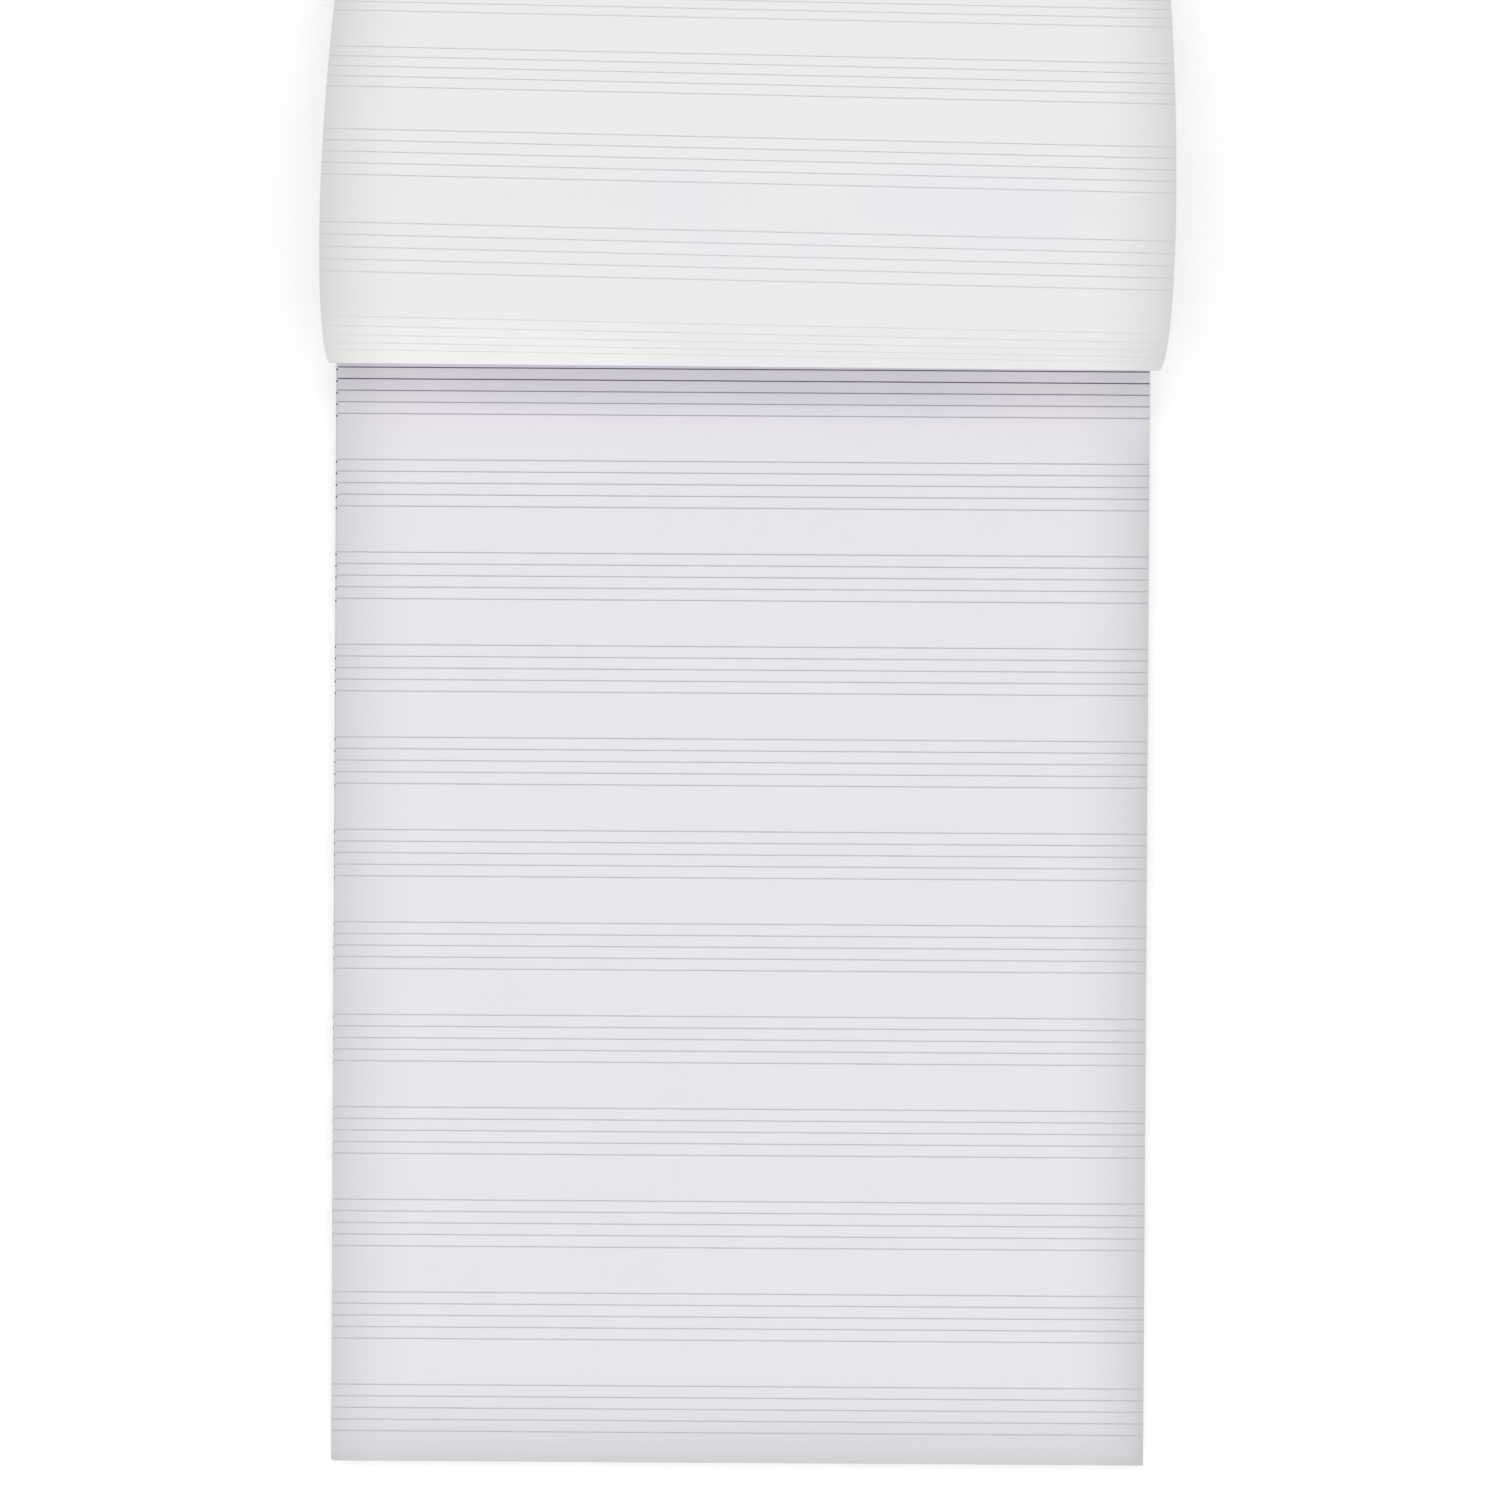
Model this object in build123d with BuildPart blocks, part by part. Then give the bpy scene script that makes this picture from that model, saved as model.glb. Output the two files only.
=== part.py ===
"""A music manuscript pad with its top leaf turned back over the head.

Sheets of ruled paper lie on a greyboard and are bound to it by a film of gum along the head edge.
The top leaf is still bound there. It bends up and back in an open loop, comes down behind the pad
and ends flat on the table.

Millimetres. The origin is the centre of the greyboard's underside, which lies on the table.
+X runs along the staves to the right, +Y to the head and +Z up, out of the page.
"""

import os
from math import cos, radians, sin

from build123d import *

# Paper
sheet_width = 210.0
sheet_length = 297.0
sheet_thickness = 0.12
page_count = 49
worn_corner_radius = 0.8

# Backing and binding
board_thickness = 1.0
gum_thickness = 0.4
gum_edge_radius = 0.25

# Ruling, the same on both sides of every sheet and printed right across it
staff_count = 12
lines_per_staff = 5
line_gap = 3.0
head_margin = 14.25
foot_margin = 7.74
line_width = 0.25
ink_thickness = 0.04

# The turned leaf's curl, arc by arc on from the head edge, and the wide arc that lands it
curl_radii = [11.5, 26.0, 43.5, 109.0]
curl_angles = [48.0, 113.0, 29.0, 22.0]
landing_radius = 130.0

# Places that follow from these
page_block_thickness = page_count * sheet_thickness
page_top = board_thickness + page_block_thickness
head_edge = sheet_length / 2
staff_height = (lines_per_staff - 1) * line_gap
staff_pitch = (sheet_length - head_margin - foot_margin - staff_height) / (staff_count - 1)
line_distances = [
    head_margin + staff * staff_pitch + line * line_gap
    for staff in range(staff_count)
    for line in range(lines_per_staff)
]
descent_angle = radians(sum(curl_angles) - 180)

os.makedirs("parts", exist_ok=True)


# The greyboard, cut flush with the sheets
with BuildPart() as backing_board:
    with BuildSketch():
        Rectangle(sheet_width, sheet_length)
    extrude(amount=board_thickness)

backing_board.part.label = "backing_board"
export_step(backing_board.part, "parts/backing_board.step")


# The pages still on the pad, trimmed as one block, with the foot's left corner worn round
with BuildPart() as page_block:
    with BuildSketch(Plane.XY.offset(board_thickness)):
        Rectangle(sheet_width, sheet_length)
    extrude(amount=page_block_thickness)
    foot_edges = page_block.edges().filter_by(Axis.Z).group_by(Axis.Y)[0]
    fillet(foot_edges.sort_by(Axis.X)[0], worn_corner_radius)

page_block.part.label = "page_block"
export_step(page_block.part, "parts/page_block.step")


# The gum film, brushed over the head edges of the board, the pages and the turned leaf
with BuildPart() as head_gum:
    with BuildSketch():
        with Locations((0, head_edge)):
            Rectangle(sheet_width, gum_thickness, align=(Align.CENTER, Align.MIN))
    extrude(amount=page_top + sheet_thickness)
    outer_edges = head_gum.faces().sort_by(Axis.Y)[-1].edges()
    fillet(outer_edges.filter_by(Axis.Z), gum_edge_radius)

head_gum.part.label = "head_gum"
export_step(head_gum.part, "parts/head_gum.step")


# The side view of the turned leaf's back, drawn with Y across and Z up. It starts along the page,
# its arcs open out as they go over, then a slope and the landing arc bring it down to the table,
# where the ink of its front holds it off by its own thickness.
with BuildLine() as leaf_back:
    arc = Line((head_edge + sheet_thickness, page_top), (head_edge, page_top), mode=Mode.PRIVATE)
    for radius, angle in zip(curl_radii, curl_angles):
        arc = JernArc(arc @ 1, arc % 1, radius, -angle)
    landing_height = landing_radius * (1 - cos(descent_angle)) + sheet_thickness + ink_thickness
    slope_length = ((arc @ 1).Y - landing_height) / sin(descent_angle)
    slope = PolarLine(arc @ 1, slope_length, direction=arc % 1)
    landing = JernArc(slope @ 1, slope % 1, landing_radius, sum(curl_angles) - 180)
    tail_length = sheet_length - leaf_back.wire().length
    PolarLine(landing @ 1, tail_length, 0)

# Where the ruled lines cross that side view, as far along the leaf as they are on a flat sheet
with BuildSketch() as ruled_stretches:
    leaf_length = leaf_back.wire()
    for distance in line_distances:
        line_angle = leaf_length.tangent_angle_at(distance, PositionMode.LENGTH)
        with Locations(leaf_length.position_at(distance, PositionMode.LENGTH)):
            Rectangle(line_width, 3 * sheet_thickness, rotation=line_angle)


def leaf_layer(depth, side):
    """Return the side view's face from the leaf's back to a depth on its front or out from it."""
    with BuildSketch() as layer:
        with BuildLine():
            add(leaf_back.line)
            offset(amount=depth, side=side)
        make_face()
    return layer.sketch


sheet_layer = leaf_layer(sheet_thickness, Side.RIGHT)

# The turned leaf, one sheet that bends only in its length
with BuildPart() as turned_leaf:
    with BuildSketch(Plane.YZ):
        add(sheet_layer)
    extrude(amount=sheet_width / 2, both=True)

turned_leaf.part.label = "turned_leaf"
export_step(turned_leaf.part, "parts/turned_leaf.step")


# The ruling on the leaf's back, which now faces up and out
with BuildPart() as leaf_back_staves:
    with BuildSketch(Plane.YZ):
        add(leaf_layer(ink_thickness, Side.LEFT))
        add(ruled_stretches.sketch, mode=Mode.INTERSECT)
    extrude(amount=sheet_width / 2, both=True)

leaf_back_staves.part.label = "leaf_back_staves"
export_step(leaf_back_staves.part, "parts/leaf_back_staves.step")


# The ruling on the leaf's front, which now faces down and into the loop
with BuildPart() as leaf_front_staves:
    with BuildSketch(Plane.YZ):
        add(leaf_layer(sheet_thickness + ink_thickness, Side.RIGHT))
        add(sheet_layer, mode=Mode.SUBTRACT)
        add(ruled_stretches.sketch, mode=Mode.INTERSECT)
    extrude(amount=sheet_width / 2, both=True)

leaf_front_staves.part.label = "leaf_front_staves"
export_step(leaf_front_staves.part, "parts/leaf_front_staves.step")


# The ruling on the top page
with BuildPart() as page_staves:
    with BuildSketch(Plane.XY.offset(page_top)):
        with Locations(*((0, head_edge - distance) for distance in line_distances)):
            Rectangle(sheet_width, line_width)
    extrude(amount=ink_thickness)

page_staves.part.label = "page_staves"
export_step(page_staves.part, "parts/page_staves.step")
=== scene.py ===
import math
import random

import bmesh
import bpy
from mathutils import Matrix, Vector, noise


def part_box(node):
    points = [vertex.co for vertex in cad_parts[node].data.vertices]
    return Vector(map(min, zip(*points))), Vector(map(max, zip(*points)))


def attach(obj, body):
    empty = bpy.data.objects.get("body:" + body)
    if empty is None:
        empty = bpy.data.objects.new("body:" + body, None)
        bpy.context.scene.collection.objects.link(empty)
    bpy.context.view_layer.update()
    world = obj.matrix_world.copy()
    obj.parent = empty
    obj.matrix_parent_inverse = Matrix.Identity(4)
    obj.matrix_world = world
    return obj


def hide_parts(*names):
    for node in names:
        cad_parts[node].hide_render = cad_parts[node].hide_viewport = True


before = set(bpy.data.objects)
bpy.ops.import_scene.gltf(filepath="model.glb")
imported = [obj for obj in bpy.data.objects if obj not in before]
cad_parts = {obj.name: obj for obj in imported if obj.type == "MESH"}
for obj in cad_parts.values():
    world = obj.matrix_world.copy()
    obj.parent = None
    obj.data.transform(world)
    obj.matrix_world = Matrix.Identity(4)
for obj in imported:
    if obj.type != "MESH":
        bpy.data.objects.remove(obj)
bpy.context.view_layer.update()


# The greyboard that backs the pad: recycled pulp pressed into a stiff sheet and cut with the paper
# in one stroke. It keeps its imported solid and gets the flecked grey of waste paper.
mm = 0.001


class Value:
    """A number that a shader node gives. Python sums on it add the Math nodes they need."""

    def __init__(self, finish, socket):
        self.finish = finish
        self.socket = socket

    def math(self, operation, *terms):
        return self.finish.node("Math", {"operation": operation}, dict(enumerate(terms)))

    def __add__(self, other):
        return self.math("ADD", self, other)

    def __radd__(self, other):
        return self.math("ADD", other, self)

    def __sub__(self, other):
        return self.math("SUBTRACT", self, other)

    def __rsub__(self, other):
        return self.math("SUBTRACT", other, self)

    def __mul__(self, other):
        return self.math("MULTIPLY", self, other)

    def __rmul__(self, other):
        return self.math("MULTIPLY", other, self)

    def __truediv__(self, other):
        return self.math("DIVIDE", self, other)

    def __rtruediv__(self, other):
        return self.math("DIVIDE", other, self)

    def __mod__(self, other):
        return self.math("FLOORED_MODULO", self, other)

    def __rmod__(self, other):
        return self.math("FLOORED_MODULO", other, self)

    def __pow__(self, other):
        return self.math("POWER", self, other)

    def __rpow__(self, other):
        return self.math("POWER", other, self)

    def __abs__(self):
        return self.math("ABSOLUTE", self)

    def __lt__(self, other):
        return self.math("LESS_THAN", self, other)

    def __gt__(self, other):
        return self.math("GREATER_THAN", self, other)

    def positive(self):
        return self.math("MAXIMUM", self, 0.0)

    def least(self, other):
        return self.math("MINIMUM", self, other)

    def share(self):
        """The value, kept between nothing and one."""
        return self.positive().least(1.0)

    def rise(self, start, end):
        """Nothing up to the start, one from the end on, and a straight rise between them."""
        return ((self - start) / (end - start)).share()

    def fall(self, start, end):
        """One up to the start, nothing from the end on, and a straight fall between them."""
        return 1.0 - self.rise(start, end)


class Finish:
    """A material under construction, with a Principled surface."""

    def __init__(self, name):
        self.material = bpy.data.materials.new(name)
        self.material.use_nodes = True
        self.tree = self.material.node_tree
        self.surface = self.tree.nodes["Principled BSDF"]

    def fill(self, node, inputs):
        """Sets a node's inputs, each given by its name or number, or links them to values."""
        for name, value in inputs.items():
            named = [socket for socket in node.inputs if socket.enabled and socket.name == name]
            socket = node.inputs[name] if isinstance(name, int) else named[0]
            if isinstance(value, Value):
                self.tree.links.new(value.socket, socket)
            elif socket.type == "RGBA":
                socket.default_value = (*value, 1.0)
            else:
                socket.default_value = value

    def node(self, kind, settings=None, inputs=None, output=None):
        """Adds a node, and gives its named output or else its first."""
        made = self.tree.nodes.new("ShaderNode" + kind)
        for name, value in (settings or {}).items():
            setattr(made, name, value)
        self.fill(made, inputs or {})
        outputs = [socket for socket in made.outputs if socket.enabled]
        return Value(self, made.outputs[output] if output else outputs[0])

    def stretched(self, place, stretch):
        return self.node("VectorMath", {"operation": "MULTIPLY"}, {0: place, 1: stretch})

    def millimetres(self, stretch=(1.0, 1.0, 1.0)):
        """The place on the piece in millimetres, drawn out along an axis whose stretch is under 1."""
        place = self.node("TexCoord", output="Object")
        return self.stretched(place, tuple(share / mm for share in stretch))

    def axes(self, vector):
        """A vector's X, Y and Z as three values."""
        return [self.node("SeparateXYZ", inputs={"Vector": vector}, output=axis) for axis in "XYZ"]

    def noise(self, place, grain, detail=2.0):
        """Noise about zero, from -0.5 to 0.5. Its grain is a size in the units of the place."""
        inputs = {"Vector": place, "Scale": 1.0 / grain, "Detail": detail}
        return self.node("TexNoise", inputs=inputs) - 0.5

    def mix(self, share, first, second):
        """The first colour, with a share of the second in its place."""
        return self.node("Mix", {"data_type": "RGBA"}, {"Factor": share, "A": first, "B": second})

    def shade(self, colour, factor):
        """The colour times a number that varies over the surface."""
        return self.node("VectorMath", {"operation": "SCALE"}, {0: colour, "Scale": factor})

    def bump(self, height, strength, distance):
        inputs = {"Height": height, "Strength": strength, "Distance": distance}
        return self.node("Bump", inputs=inputs)


def greyboard_finish():
    board = Finish("greyboard_finish")
    place = board.millimetres()
    board_grey = (0.36, 0.34, 0.31)
    dark_fleck = (0.17, 0.16, 0.16)
    pale_fleck = (0.58, 0.56, 0.53)
    dark_strength = 0.6
    pale_strength = 0.5
    dark_where_over = 0.2
    pale_where_over = 0.19
    dark_grains = board.noise(board.millimetres((0.6, 1.0, 1.0)), grain=1.1)
    pale_grains = board.noise(board.millimetres((1.0, 0.7, 1.3)), grain=0.9)
    colour = board.mix(dark_strength * (dark_grains > dark_where_over), board_grey, dark_fleck)
    colour = board.mix(pale_strength * (pale_grains > pale_where_over), colour, pale_fleck)
    pulp = board.noise(place, grain=0.8, detail=5.0)
    fibres = board.noise(board.millimetres((1.0, 0.25, 1.0)), grain=0.35, detail=3.0)
    cloud = board.noise(place, grain=14.0)
    board.fill(board.surface, {
        "Base Color": board.shade(colour, 1.0 + 0.5 * pulp + 0.25 * fibres + 0.15 * cloud),
        "Roughness": 0.93,
        "Normal": board.bump(pulp + fibres, strength=0.5, distance=0.3 * mm),
    })
    return board.material


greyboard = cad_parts["backing_board"]
greyboard.data.materials.clear()
greyboard.data.materials.append(greyboard_finish())


# The pages still on the pad: loose sheets of uncoated paper, knocked up square and trimmed together.
# Only the gum holds them, so lower sheets have crept out a hair at the left, nearer the head, and
# the foot's left corner has worn round. The ruling is cut through, so its ends show on both sides.
page_low, page_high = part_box("page_block")
sheet_width = page_high.x - page_low.x
sheet_length = page_high.y - page_low.y

# The gum ends one sheet above the pages, because it holds the turned leaf too
gum_low, gum_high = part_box("head_gum")
sheet_thickness = gum_high.z - page_high.z
sheet_count = round((page_high.z - page_low.z) / sheet_thickness)

# How the sheets lie on each other, and how far their corner is worn
stack_seed = 7
air_between = 0.012 * mm
most_creep = 0.6 * mm
least_creep_share = -0.2
most_foot_slip = 0.12 * mm
corner_wear = 0.8 * mm
uneven_wear = 0.2
corner_steps = 4

# The ruling's sizes in plain millimetres, as the finishes measure them
line_gap = 3.0
head_margin = 14.25
foot_margin = 7.74
staff_count = 12
lines_per_staff = 5
staff_height = (lines_per_staff - 1) * line_gap
staff_pitch = (sheet_length / mm - head_margin - foot_margin - staff_height) / (staff_count - 1)
line_width = 0.25

# What every paper surface here shares
paper_roughness = 0.88
paper_sheen = 0.35
tooth_strength = 0.25
tooth_depth = 0.08 * mm
edge_shade_curve = 1.7


def painted_edge_shade(from_edge, reach, depth):
    """Painted shade: how much darker the paper is made that far from a cut edge, falling to nothing at
    its reach.
    """
    return depth * (1.0 - from_edge / reach).positive() ** edge_shade_curve


def paper_structure(finish, place):
    """The cloudiness and the tooth of uncoated paper, as a factor near one and a height."""
    cloud = finish.noise(place, grain=6.0, detail=3.0)
    fibre = finish.noise(place, grain=0.45, detail=4.0)
    felt_mark = finish.noise(place, grain=1.6)
    return 1.0 + 0.006 * cloud + 0.012 * fibre, fibre + 0.6 * felt_mark


def page_edge_shade(across, from_head, side_gap, foot_gap):
    """The page's painted shade at its sides and foot. The right is a little darker, but less so at the
    head.
    """
    lean_to_right = 0.0004
    lighter_corner_fades = (28.0, 40.0)
    corner_lightening = 0.004
    lighter_corner = from_head.fall(*lighter_corner_fades) * (corner_lightening * across).share()
    sides = painted_edge_shade(side_gap, reach=21.0, depth=0.2) * (1.0 + lean_to_right * across - lighter_corner)
    foot = painted_edge_shade(foot_gap, reach=24.0, depth=0.18)
    return (sides * sides + foot * foot) ** 0.5


def page_face(paper, place, across, from_head, side_gap, foot_gap):
    """The top page's tints: the curl's painted shadow towards the head, mauve and in violet patches,
    grey at its rim.
    """
    lavender_white = (0.820, 0.811, 0.846)
    shade_mauve_white = (0.820, 0.786, 0.832)
    shadow_violet_white = (0.765, 0.745, 0.812)
    rim_grey = (0.79, 0.795, 0.78)
    shade_tint_fades = (28.0, 36.0)
    shade_tint_grows_inwards = (0.0, 14.0)
    shadow_fades = (23.0, 29.0)
    shadow_fades_sideways = (57.5, 82.5)
    shadow_centre = -10.0
    shadow_patch = 22.0
    rim_fades = (1.4, 2.4)
    rim_strength = 0.95
    # Painted shade: the curl's shadow on the page, a mauve tint towards the head and darker violet
    # patches there
    curl_shade_tint = from_head.fall(*shade_tint_fades) * side_gap.rise(*shade_tint_grows_inwards)
    painted_shadow = from_head.fall(*shadow_fades) * abs(across - shadow_centre).fall(*shadow_fades_sideways)
    patches = (0.75 + 1.2 * paper.noise(place, shadow_patch)).share()
    right_gap = sheet_width / 2 / mm - across
    at_rim = rim_strength * right_gap.least(foot_gap).fall(*rim_fades)
    colour = paper.mix(curl_shade_tint, lavender_white, shade_mauve_white)
    colour = paper.mix(painted_shadow * patches, colour, shadow_violet_white)
    return paper.mix(at_rim, colour, rim_grey)


def line_ends(paper, across, from_head, at_flank):
    """Where the ruling is cut through: a line down each flank, darkest on the crept-out sheets."""
    ruling_slip = 0.5
    least_creep = 0.01
    crept_strength = 0.95
    flank_strength = 0.4
    crept_out = abs(across) > sheet_width / 2 / mm + least_creep
    sheet_slip = paper.noise(paper.millimetres((0.0, 0.0, 1.0)), grain=sheet_thickness / mm)
    from_first_line = from_head - head_margin - ruling_slip * (crept_out + sheet_slip) + line_width / 2
    mark_width = line_width * (1.0 + crept_out)
    in_staff = (from_first_line % staff_pitch) < staff_height + mark_width
    on_line = ((from_first_line % staff_pitch) % line_gap) < mark_width
    strength = crept_strength * crept_out + flank_strength * at_flank * (1.0 - crept_out)
    return in_staff * on_line * strength * (from_first_line > 0.0)


def page_finish():
    paper = Finish("page_finish")
    place = paper.millimetres()
    across, along = paper.axes(place)[:2]
    from_head = page_high.y / mm - along
    side_gap = (sheet_width / 2 / mm - abs(across)).positive()
    foot_gap = (along - page_low.y / mm).positive()
    facing = paper.axes(paper.node("TexCoord", output="Normal"))
    mostly = 0.5
    cut_edge = 1.0 - (abs(facing[2]) > mostly)
    at_flank = abs(facing[0]) > mostly
    cut_white = (0.74, 0.735, 0.745)
    ink_end = (0.10, 0.10, 0.13)
    layers = paper.noise(paper.millimetres((0.02, 0.02, 1.0)), grain=0.09, detail=3.0)
    face = page_face(paper, place, across, from_head, side_gap, foot_gap)
    colour = paper.mix(cut_edge, face, paper.shade(cut_white, 1.0 + 0.5 * layers))
    colour = paper.mix(line_ends(paper, across, from_head, at_flank), colour, ink_end)
    # Painted shade: the page is darkened towards its sides and foot
    edge_shade = page_edge_shade(across, from_head, side_gap, foot_gap)
    factor, tooth = paper_structure(paper, place)
    patches = 1.0 + 0.02 * paper.noise(place, grain=45.0)
    paper.fill(paper.surface, {
        "Base Color": paper.shade(colour, factor * patches * (1.0 - edge_shade * (1.0 - cut_edge))),
        "Roughness": paper_roughness,
        "Specular IOR Level": paper_sheen,
        "Normal": paper.bump(tooth, tooth_strength, tooth_depth),
    })
    return paper.material


def finished_piece(shape, name, material):
    """The bmesh as an object of its own at the origin."""
    mesh = bpy.data.meshes.new(name)
    shape.to_mesh(mesh)
    shape.free()
    mesh.materials.append(material)
    piece = bpy.data.objects.new(name, mesh)
    bpy.context.scene.collection.objects.link(piece)
    return piece


def stacked_sheets():
    """The sheets one by one, from the board up. Only the top one lies square to the pad."""
    chance = random.Random(stack_seed)
    stack = bmesh.new()
    for number in range(sheet_count):
        is_top = number == sheet_count - 1
        thickness = sheet_thickness if is_top else sheet_thickness - air_between
        centre = Matrix.Translation((0, 0, page_low.z + number * sheet_thickness + thickness / 2))
        size = Matrix.Diagonal((sheet_width, sheet_length, thickness, 1.0))
        sheet = bmesh.ops.create_cube(stack, size=1.0, matrix=centre @ size)
        head_creep = 0.0 if is_top else chance.uniform(least_creep_share, 1.0) * most_creep
        foot_slip = 0.0 if is_top else chance.uniform(-1.0, 1.0) * most_foot_slip
        for vertex in sheet["verts"]:
            if vertex.co.y > 0:
                vertex.co.x -= head_creep
            else:
                vertex.co.y += foot_slip
        corner = [v for v in sheet["verts"] if v.co.x < 0 and v.co.y < 0]
        corner_edge = [e for e in corner[0].link_edges if e.other_vert(corner[0]) in corner]
        wear = corner_wear * chance.uniform(1.0 - uneven_wear, 1.0 + uneven_wear)
        bmesh.ops.bevel(
            stack, geom=corner_edge, offset=wear, segments=corner_steps, profile=0.5,
            affect="EDGES", material=-1,
        )
    bmesh.ops.recalc_face_normals(stack, faces=stack.faces)
    return finished_piece(stack, "page_sheets", page_finish())


page_sheets = stacked_sheets()
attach(page_sheets, "root")
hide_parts("page_block")


# The ruling on the top page: grey ink, printed right across the sheet. Its first lines, nearest the
# head, are darker and more violet, and it goes on paling as far as mid-page.
ink_roughness = 0.8
ink_sheen = 0.3


def page_ink_finish():
    ink = Finish("page_ink_finish")
    along = ink.axes(ink.millimetres())[1]
    from_head = page_high.y / mm - along
    grey_ink = (0.47, 0.47, 0.49)
    pale_ink = (0.545, 0.545, 0.56)
    darkest_violet_ink = (0.08, 0.06, 0.14)
    share_kept_each_line = 0.5
    paling = (30.0, 150.0)
    lines_below_second = (from_head - head_margin - line_gap - line_width) / line_gap
    first_lines = share_kept_each_line ** lines_below_second.positive()
    colour = ink.mix(from_head.rise(*paling), grey_ink, pale_ink)
    colour = ink.mix(first_lines, colour, darkest_violet_ink)
    density = ink.noise(ink.millimetres((0.12, 1.0, 1.0)), grain=1.0, detail=3.0)
    ink.fill(ink.surface, {
        "Base Color": ink.shade(colour, 1.0 + 0.25 * density),
        "Roughness": ink_roughness,
        "Specular IOR Level": ink_sheen,
    })
    return ink.material


page_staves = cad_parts["page_staves"]
page_staves.data.materials.clear()
page_staves.data.materials.append(page_ink_finish())


# The padding gum: a white latex film, brushed across the head of the clamped stack and left to dry,
# so it is a little uneven and its brush marks run with the edge.
gum_unevenness = 0.05 * mm
gum_edge_radius = 0.12 * mm
gum_cuts_across = 209
gum_cuts_up = 7
ripples_per_metre_across = 90
ripples_per_metre_up = 900


def gum_finish():
    gum = Finish("gum_finish")
    streaks = gum.noise(gum.millimetres((0.05, 1.0, 1.0)), grain=0.5, detail=3.0)
    blobs = gum.noise(gum.millimetres(), grain=3.0)
    dry_latex = (0.79, 0.78, 0.745)
    gum.fill(gum.surface, {
        "Base Color": gum.shade(dry_latex, 1.0 + 0.12 * streaks + 0.08 * blobs),
        "Roughness": 0.42 + 0.25 * streaks,
        "Normal": gum.bump(streaks + 0.5 * blobs, strength=0.6, distance=0.1 * mm),
    })
    return gum.material


def lengthwise(edges, axis, shortest):
    """The edges that run along an axis for more than the shortest length."""
    return [e for e in edges if abs((e.verts[0].co - e.verts[1].co)[axis]) > shortest]


def brushed_film():
    """A thin block over the head edge, with a rippled face and eased ends."""
    film = bmesh.new()
    centre = Matrix.Translation((gum_low + gum_high) / 2)
    size = Matrix.Diagonal((*(gum_high - gum_low), 1.0))
    bmesh.ops.create_cube(film, size=1.0, matrix=centre @ size)
    for axis, cuts in ((0, gum_cuts_across), (2, gum_cuts_up)):
        edges = lengthwise(film.edges, axis, shortest=gum_unevenness)
        bmesh.ops.subdivide_edges(film, edges=edges, cuts=cuts, use_grid_fill=True)
    for vertex in film.verts:
        if vertex.co.y > gum_high.y - gum_edge_radius:
            across = ripples_per_metre_across * vertex.co.x
            up = ripples_per_metre_up * vertex.co.z
            vertex.co.y += gum_unevenness * noise.noise(Vector((across, 0, up)))
            near_end = min(gum_high.x - abs(vertex.co.x), gum_high.z - vertex.co.z)
            if near_end < gum_edge_radius:
                vertex.co.y -= gum_edge_radius - near_end
    bmesh.ops.recalc_face_normals(film, faces=film.faces)
    return finished_piece(film, "gum_film", gum_finish())


gum_film = brushed_film()
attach(gum_film, "root")
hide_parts("head_gum")


# The turned leaf: the pad's top sheet, still gummed at its head, bent up, back and over by hand and
# let down on the table behind the pad. It bends about lines that run a hair askew to the ruling, so
# it lies a little to the right by its foot. Behind its top it bends a shade wider than its solid.
curl_arcs = [(11.5 * mm, 48.0), (26 * mm, 113.0), (49 * mm, 29.0), (114 * mm, 22.0)]
landing_radius = 130 * mm
descent = math.radians(sum(turn for radius, turn in curl_arcs) - 180)
bend_blend = 8 * mm
blend_steps = 4
curl_step = 0.5 * mm
drawn_length_share = 1.02
skew_before_top = math.radians(0.15)
skew_from_top = math.radians(0.48)
skew_grows_from = 24 * mm
skew_grown_at = 46 * mm
ink_thickness = 0.04 * mm
tail_height = sheet_thickness + ink_thickness
leaf_cuts_along = 247
leaf_cuts_across = 23
rim_angle = math.radians(40)


def leaf_stretches(slope_length):
    """The leaf's side view from head to foot, as lengths and the angle each turns through."""
    arcs = [(radius * math.radians(turn), -math.radians(turn)) for radius, turn in curl_arcs]
    return arcs + [(slope_length, 0.0), (landing_radius * descent, descent), (sheet_length, 0.0)]


def heading_at(distance, stretches):
    """Which way the leaf's back runs, that far from its head, as an angle from +Y towards +Z."""
    heading = math.pi
    for length, turn in stretches:
        heading += turn * min(max(distance / length, 0.0), 1.0)
        distance -= length
    return heading


def side_view(slope_length):
    """Points along the leaf's back, a step apart: each its place, Y and Z, and its heading."""
    stretches = leaf_stretches(slope_length)
    place = Vector((page_high.y, page_high.z))
    points = []
    for number in range(round(drawn_length_share * sheet_length / curl_step)):
        distance = number * curl_step
        reach = min(bend_blend / 2, distance)
        offsets = [reach * step / blend_steps for step in range(-blend_steps, blend_steps + 1)]
        heading = sum(heading_at(distance + offset, stretches) for offset in offsets) / len(offsets)
        points.append((place.copy(), heading))
        place += curl_step * Vector((math.cos(heading), math.sin(heading)))
    return points


# The straight slope starts as a guess, and is mended until the foot lies flat on the table
straight_slope = 37 * mm
for trial in range(2):
    foot_place = side_view(straight_slope)[round(sheet_length / curl_step)][0]
    straight_slope += (foot_place.y - tail_height) / math.sin(descent)
leaf_side_view = side_view(straight_slope)


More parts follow.
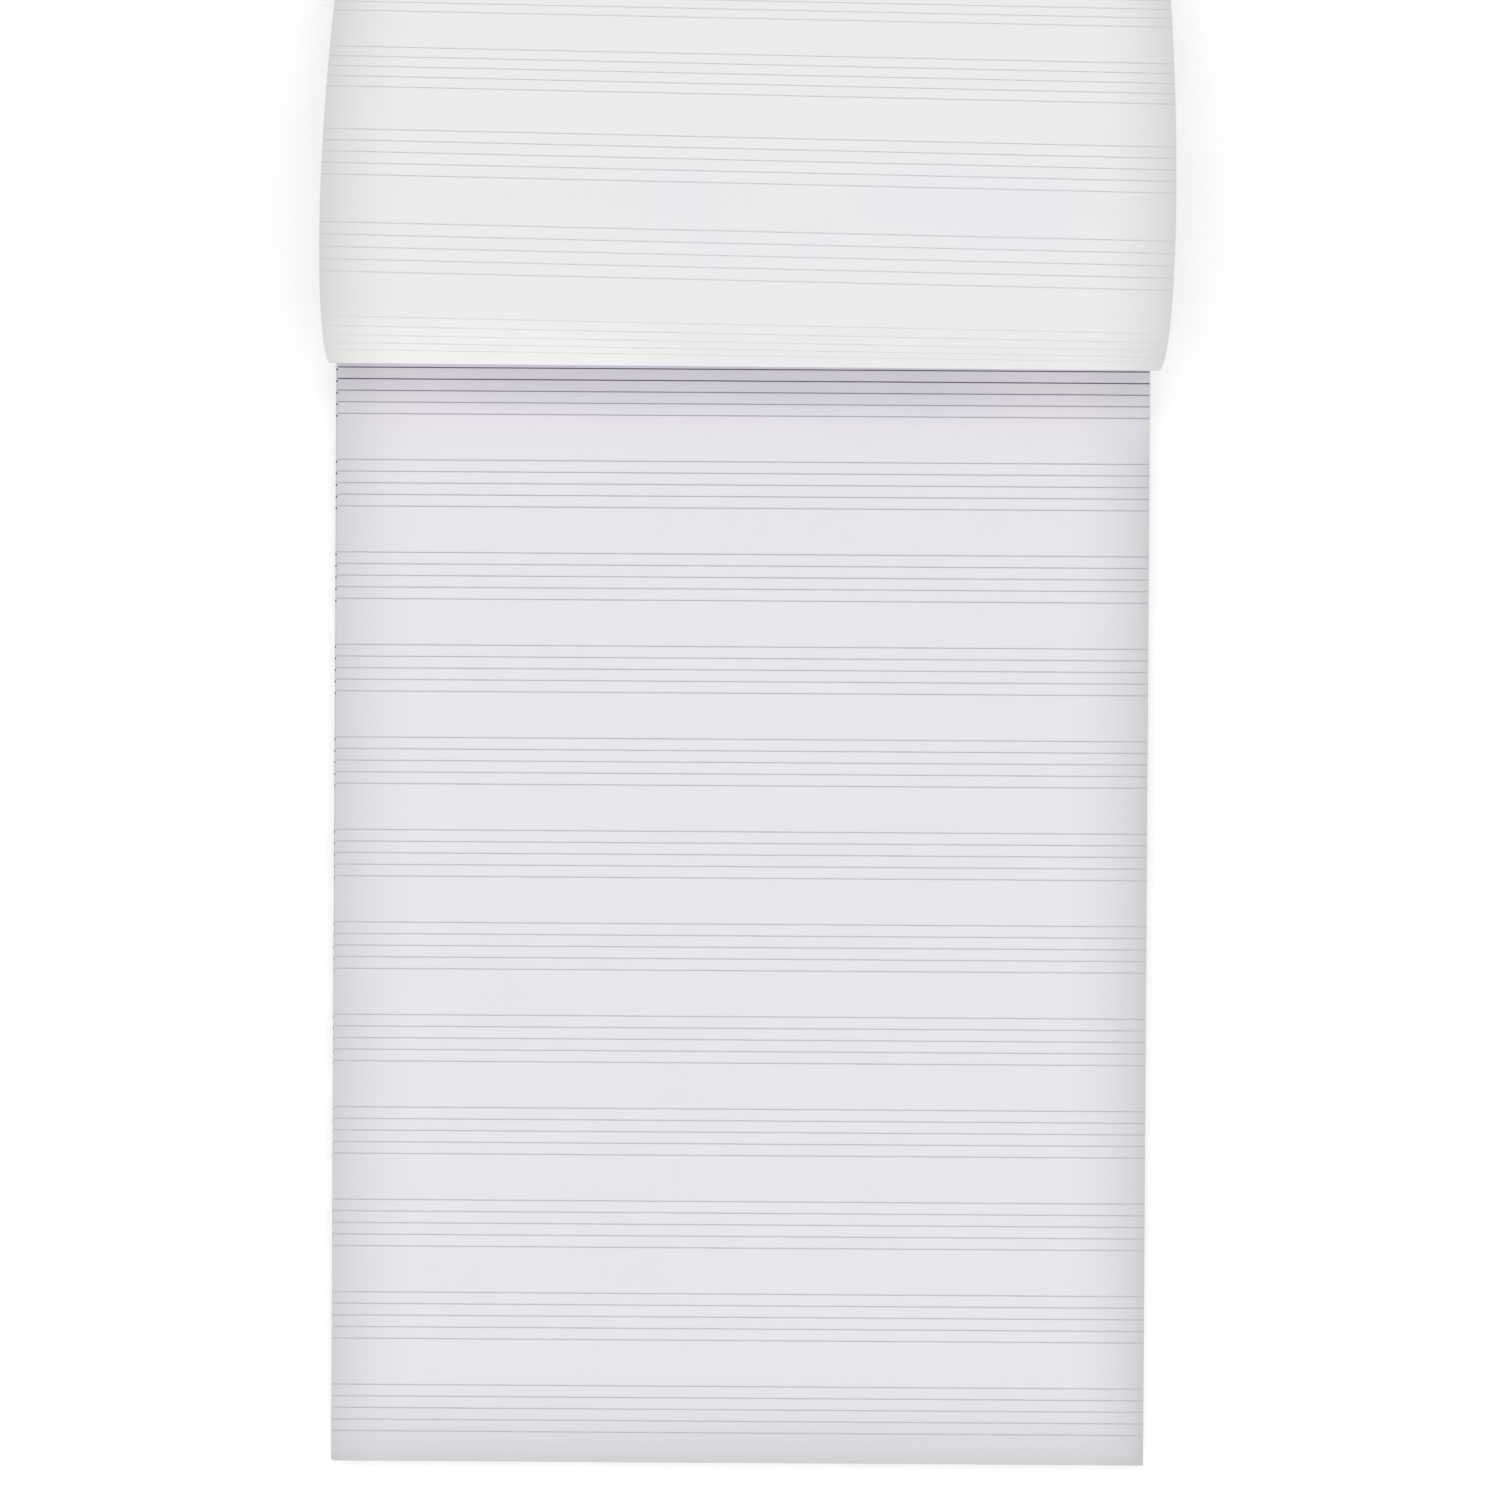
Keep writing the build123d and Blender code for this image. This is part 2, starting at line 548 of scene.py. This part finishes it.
def bent(across, along, lift):
    """Where a point of the flat leaf goes. Lift is how far it stands off the leaf's back."""
    grown = min(max((along - skew_grows_from) / (skew_grown_at - skew_grows_from), 0.0), 1.0)
    skew = skew_before_top + (skew_from_top - skew_before_top) * grown * grown * (3 - 2 * grown)
    rolled = max(along - skew * across, 0.0) / curl_step
    before = int(rolled)
    place, heading = leaf_side_view[before]
    next_place, next_heading = leaf_side_view[before + 1]
    place = place.lerp(next_place, rolled - before)
    heading += (next_heading - heading) * (rolled - before)
    back = place.x - lift * math.sin(heading) - page_high.y
    height = place.y + lift * math.cos(heading)
    level = across + skew * along
    return Vector((level + skew * back, page_high.y + back - skew * level, height))


def flat_strip(shape, start, length, lowest, thickness, cuts_along, cuts_across):
    """Adds a thin box across the flat leaf, cut finely enough to bend."""
    size = Matrix.Diagonal((sheet_width, length, thickness, 1.0))
    centre = Matrix.Translation((0, start + length / 2, lowest + thickness / 2))
    box = bmesh.ops.create_cube(shape, size=1.0, matrix=centre @ size)
    edges = {edge for vertex in box["verts"] for edge in vertex.link_edges}
    for axis, cuts in ((1, cuts_along), (0, cuts_across)):
        if cuts:
            run = lengthwise(edges, axis, shortest=thickness)
            cut = bmesh.ops.subdivide_edges(shape, edges=run, cuts=cuts, use_grid_fill=True)
            edges |= {item for item in cut["geom"] if isinstance(item, bmesh.types.BMEdge)}
            edges = {edge for edge in edges if edge.is_valid}


def bend_over(shape):
    """Maps each face's place on the flat leaf to its UV map, then bends the leaf over."""
    layout = shape.loops.layers.uv.new("flat_leaf")
    for face in shape.faces:
        for loop in face.loops:
            flat = loop.vert.co
            loop[layout].uv = (flat.x / sheet_width + 0.5, 1.0 - flat.y / sheet_length)
    for vertex in shape.verts:
        vertex.co = bent(*vertex.co)


def flat_place(finish, width):
    """The place on the flat leaf: across it in shares of a width, and along it in millimetres."""
    flat = finish.node("UVMap", {"uv_map": "flat_leaf"})
    return finish.stretched(flat, (width, sheet_length / mm, 1.0))


def leaf_tints(paper, place, across, from_head, side_gap):
    """The leaf's white, warm over the curl at its left and lavender in the middle of its slope."""
    neutral_white = (0.812, 0.810, 0.800)
    lavender_white = (0.798, 0.788, 0.816)
    cream_white = (0.850, 0.815, 0.808)
    lavender_centre = 78.0
    lavender_fades = (0.0, 30.0)
    lavender_grows_inwards = (0.0, 35.0)
    lavender_grows_to_right = (30.0, 90.0)
    lavender_patch = 38.0
    cream_fades = (26.0, 42.0)
    cream_fades_to_right = (0.0, 130.0)
    patches = (0.5 + 2.2 * paper.noise(place, lavender_patch, detail=1.0)).share()
    lavender = abs(from_head - lavender_centre).fall(*lavender_fades) * patches
    lavender *= side_gap.rise(*lavender_grows_inwards) * across.rise(*lavender_grows_to_right)
    cream = from_head.fall(*cream_fades) * across.fall(*cream_fades_to_right)
    return paper.mix(cream, paper.mix(lavender, neutral_white, lavender_white), cream_white)


def leaf_painted_light(across, from_head):
    """Painted light: how much paler the leaf is made over the curl, most of all at its left, and on its
    slope.
    """
    curl_fades = (30.0, 44.0)
    highlight_fades = (46.0, 52.0)
    highlight_fades_to_right = (72.0, 96.0)
    slope_grows = (56.0, 88.0)
    # Painted light: these shares brighten the leaf's colour where the lamps leave the curl's front and
    # slope darker
    painted_curl_light = 0.06 * from_head.fall(*curl_fades)
    painted_left_highlight = 0.042 * from_head.fall(*highlight_fades) * across.fall(*highlight_fades_to_right)
    painted_slope_light = 0.075 * from_head.rise(*slope_grows)
    return 1.0 + painted_curl_light + painted_left_highlight + painted_slope_light


def leaf_finish():
    paper = Finish("leaf_finish")
    width = sheet_width / mm
    place = flat_place(paper, width)
    across, along = paper.axes(place)[:2]
    from_head = sheet_length / mm - along
    side_gap = (width / 2 - abs(across - width / 2)).positive()
    colour = leaf_tints(paper, place, across, from_head, side_gap)
    # Painted shade: the leaf is darkened towards its sides
    edge_shade = painted_edge_shade(side_gap, reach=20.0, depth=0.2)
    factor, tooth = paper_structure(paper, place)
    # Painted light: the leaf's colour is made paler over the curl and on its slope
    paper.fill(paper.surface, {
        "Base Color": paper.shade(colour, factor * leaf_painted_light(across, from_head) * (1.0 - edge_shade)),
        "Roughness": paper_roughness,
        "Specular IOR Level": paper_sheen,
        "Normal": paper.bump(tooth, tooth_strength, tooth_depth),
    })
    return paper.material


def curled_leaf():
    """The whole sheet, cut finely while it is flat and then bent over, with crisp rims."""
    sheet = bmesh.new()
    flat_strip(
        sheet, start=0.0, length=sheet_length, lowest=-sheet_thickness, thickness=sheet_thickness,
        cuts_along=leaf_cuts_along, cuts_across=leaf_cuts_across,
    )
    bend_over(sheet)
    for edge in sheet.edges:
        edge.smooth = edge.calc_face_angle() < rim_angle
    leaf = finished_piece(sheet, "turned_sheet", leaf_finish())
    for face in leaf.data.polygons:
        face.use_smooth = True
    return leaf


turned_sheet = curled_leaf()
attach(turned_sheet, "root")
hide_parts("turned_leaf")


# The leaf's ruling: the same grey ink on both of its sides, in the same twelve staves, bent over with
# the paper. It is paler than the top page's, and palest near the head.
ruling_cuts_across = 11


def leaf_ink_finish():
    ink = Finish("leaf_ink_finish")
    grains_across = 25.0
    place = flat_place(ink, grains_across)
    along = ink.axes(place)[1]
    from_head = sheet_length / mm - along
    thin_ink = (0.635, 0.635, 0.645)
    faint_ink = (0.71, 0.71, 0.715)
    faint_as_far_as = 56.0
    colour = ink.mix(from_head < faint_as_far_as, thin_ink, faint_ink)
    density = ink.noise(place, grain=1.0, detail=3.0)
    ink.fill(ink.surface, {
        "Base Color": ink.shade(colour, 1.0 + 0.15 * density),
        "Roughness": ink_roughness,
        "Specular IOR Level": ink_sheen,
    })
    return ink.material


leaf_ink = leaf_ink_finish()


def leaf_ruling(name, lowest):
    """The lines on one side of the leaf, from the lowest level of their ink on the flat sheet."""
    ruling = bmesh.new()
    for staff in range(staff_count):
        for line in range(lines_per_staff):
            centre = head_margin + staff * staff_pitch + line * line_gap
            flat_strip(
                ruling, start=(centre - line_width / 2) * mm, length=line_width * mm, lowest=lowest,
                thickness=ink_thickness, cuts_along=0, cuts_across=ruling_cuts_across,
            )
    bend_over(ruling)
    return finished_piece(ruling, name, leaf_ink)


back_ruling = leaf_ruling("leaf_back_ruling", 0.0)
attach(back_ruling, "root")
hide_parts("leaf_back_staves")

front_ruling = leaf_ruling("leaf_front_ruling", -sheet_thickness - ink_thickness)
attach(front_ruling, "root")
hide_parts("leaf_front_staves")


# The pale table top that the pad lies on, with a hair of air under the board. To the camera it is
# lit up to white, and it keeps the pad's soft shadow.
air_under_board = 0.02 * mm
half_table = 4.0


def seen_share(finish):
    """One for what the camera sees, straight, by gloss or through glass, and nothing for the rest."""
    straight = finish.node("LightPath", output="Is Camera Ray")
    by_gloss = finish.node("LightPath", output="Is Glossy Ray")
    through_glass = finish.node("LightPath", output="Is Transmission Ray")
    return (straight + by_gloss + through_glass).share()


def table_finish():
    table = Finish("table_finish")
    no_light = (0.0, 0.0, 0.0)
    lift_to_white = (0.27, 0.27, 0.27)
    table.fill(table.surface, {
        "Base Color": (0.88, 0.88, 0.88),
        "Roughness": 0.9,
        "Emission Color": table.mix(seen_share(table), no_light, lift_to_white),
        "Emission Strength": 1.0,
    })
    return table.material


table_shape = bmesh.new()
table_place = Matrix.Translation((0, 0, -air_under_board))
bmesh.ops.create_grid(table_shape, x_segments=1, y_segments=1, size=half_table, matrix=table_place)
table_top = finished_piece(table_shape, "table_top", table_finish())


# The studio: even, soft light from all round, a soft lamp high behind the pad, which draws the short
# shadow under the curl, and a broad low one at its foot, which lights the curl's front. The camera
# looks straight down.
lamp_distance = 2.0
camera_x = 2.18 * mm
camera_y = 35.88 * mm
camera_above_page = 936 * mm
camera_turn = math.radians(0.37)
sensor_millimetres = 36.0
focal_pixels = 3620
photo_pixels = 1500


class Sky(Finish):
    """The world's light, built with the same calls as a material."""

    def __init__(self):
        world = bpy.data.worlds.new("studio_light")
        bpy.context.scene.world = world
        world.use_nodes = True
        self.tree = world.node_tree


sky = Sky()
soft_daylight = (0.815, 0.815, 0.835)
white_backdrop = (1.0, 1.0, 1.0)
sky_colour = sky.mix(seen_share(sky), soft_daylight, white_backdrop)
sky.fill(sky.tree.nodes["Background"], {"Color": sky_colour, "Strength": 1.0})


def soft_lamp(name, rise, size, energy):
    """An area lamp aimed near the curl, that many degrees up from the table at the pad's foot."""
    lamp = bpy.data.lights.new(name, "AREA")
    lamp.shape = "RECTANGLE"
    lamp.size, lamp.size_y = size
    lamp.energy = energy
    turn = math.radians(rise)
    aim = Vector((0.0, page_high.y / 2, 0.0))
    lamp_object = bpy.data.objects.new(name, lamp)
    lamp_object.location = aim + lamp_distance * Vector((0.0, -math.cos(turn), math.sin(turn)))
    lamp_object.rotation_euler = (math.pi / 2 - turn, 0.0, 0.0)
    bpy.context.scene.collection.objects.link(lamp_object)


soft_lamp("low_foot_lamp", rise=10, size=(2.4, 0.5), energy=9.3)
soft_lamp("high_back_lamp", rise=108, size=(1.6, 0.5), energy=5.9)

camera = bpy.data.cameras.new("camera")
camera.sensor_width = sensor_millimetres
camera.lens = sensor_millimetres * focal_pixels / photo_pixels
camera_object = bpy.data.objects.new("camera", camera)
camera_object.location = (camera_x, camera_y, page_high.z + camera_above_page)
camera_object.rotation_euler = (0.0, 0.0, camera_turn)
bpy.context.scene.collection.objects.link(camera_object)
bpy.context.scene.camera = camera_object
bpy.context.scene.view_settings.view_transform = "Standard"
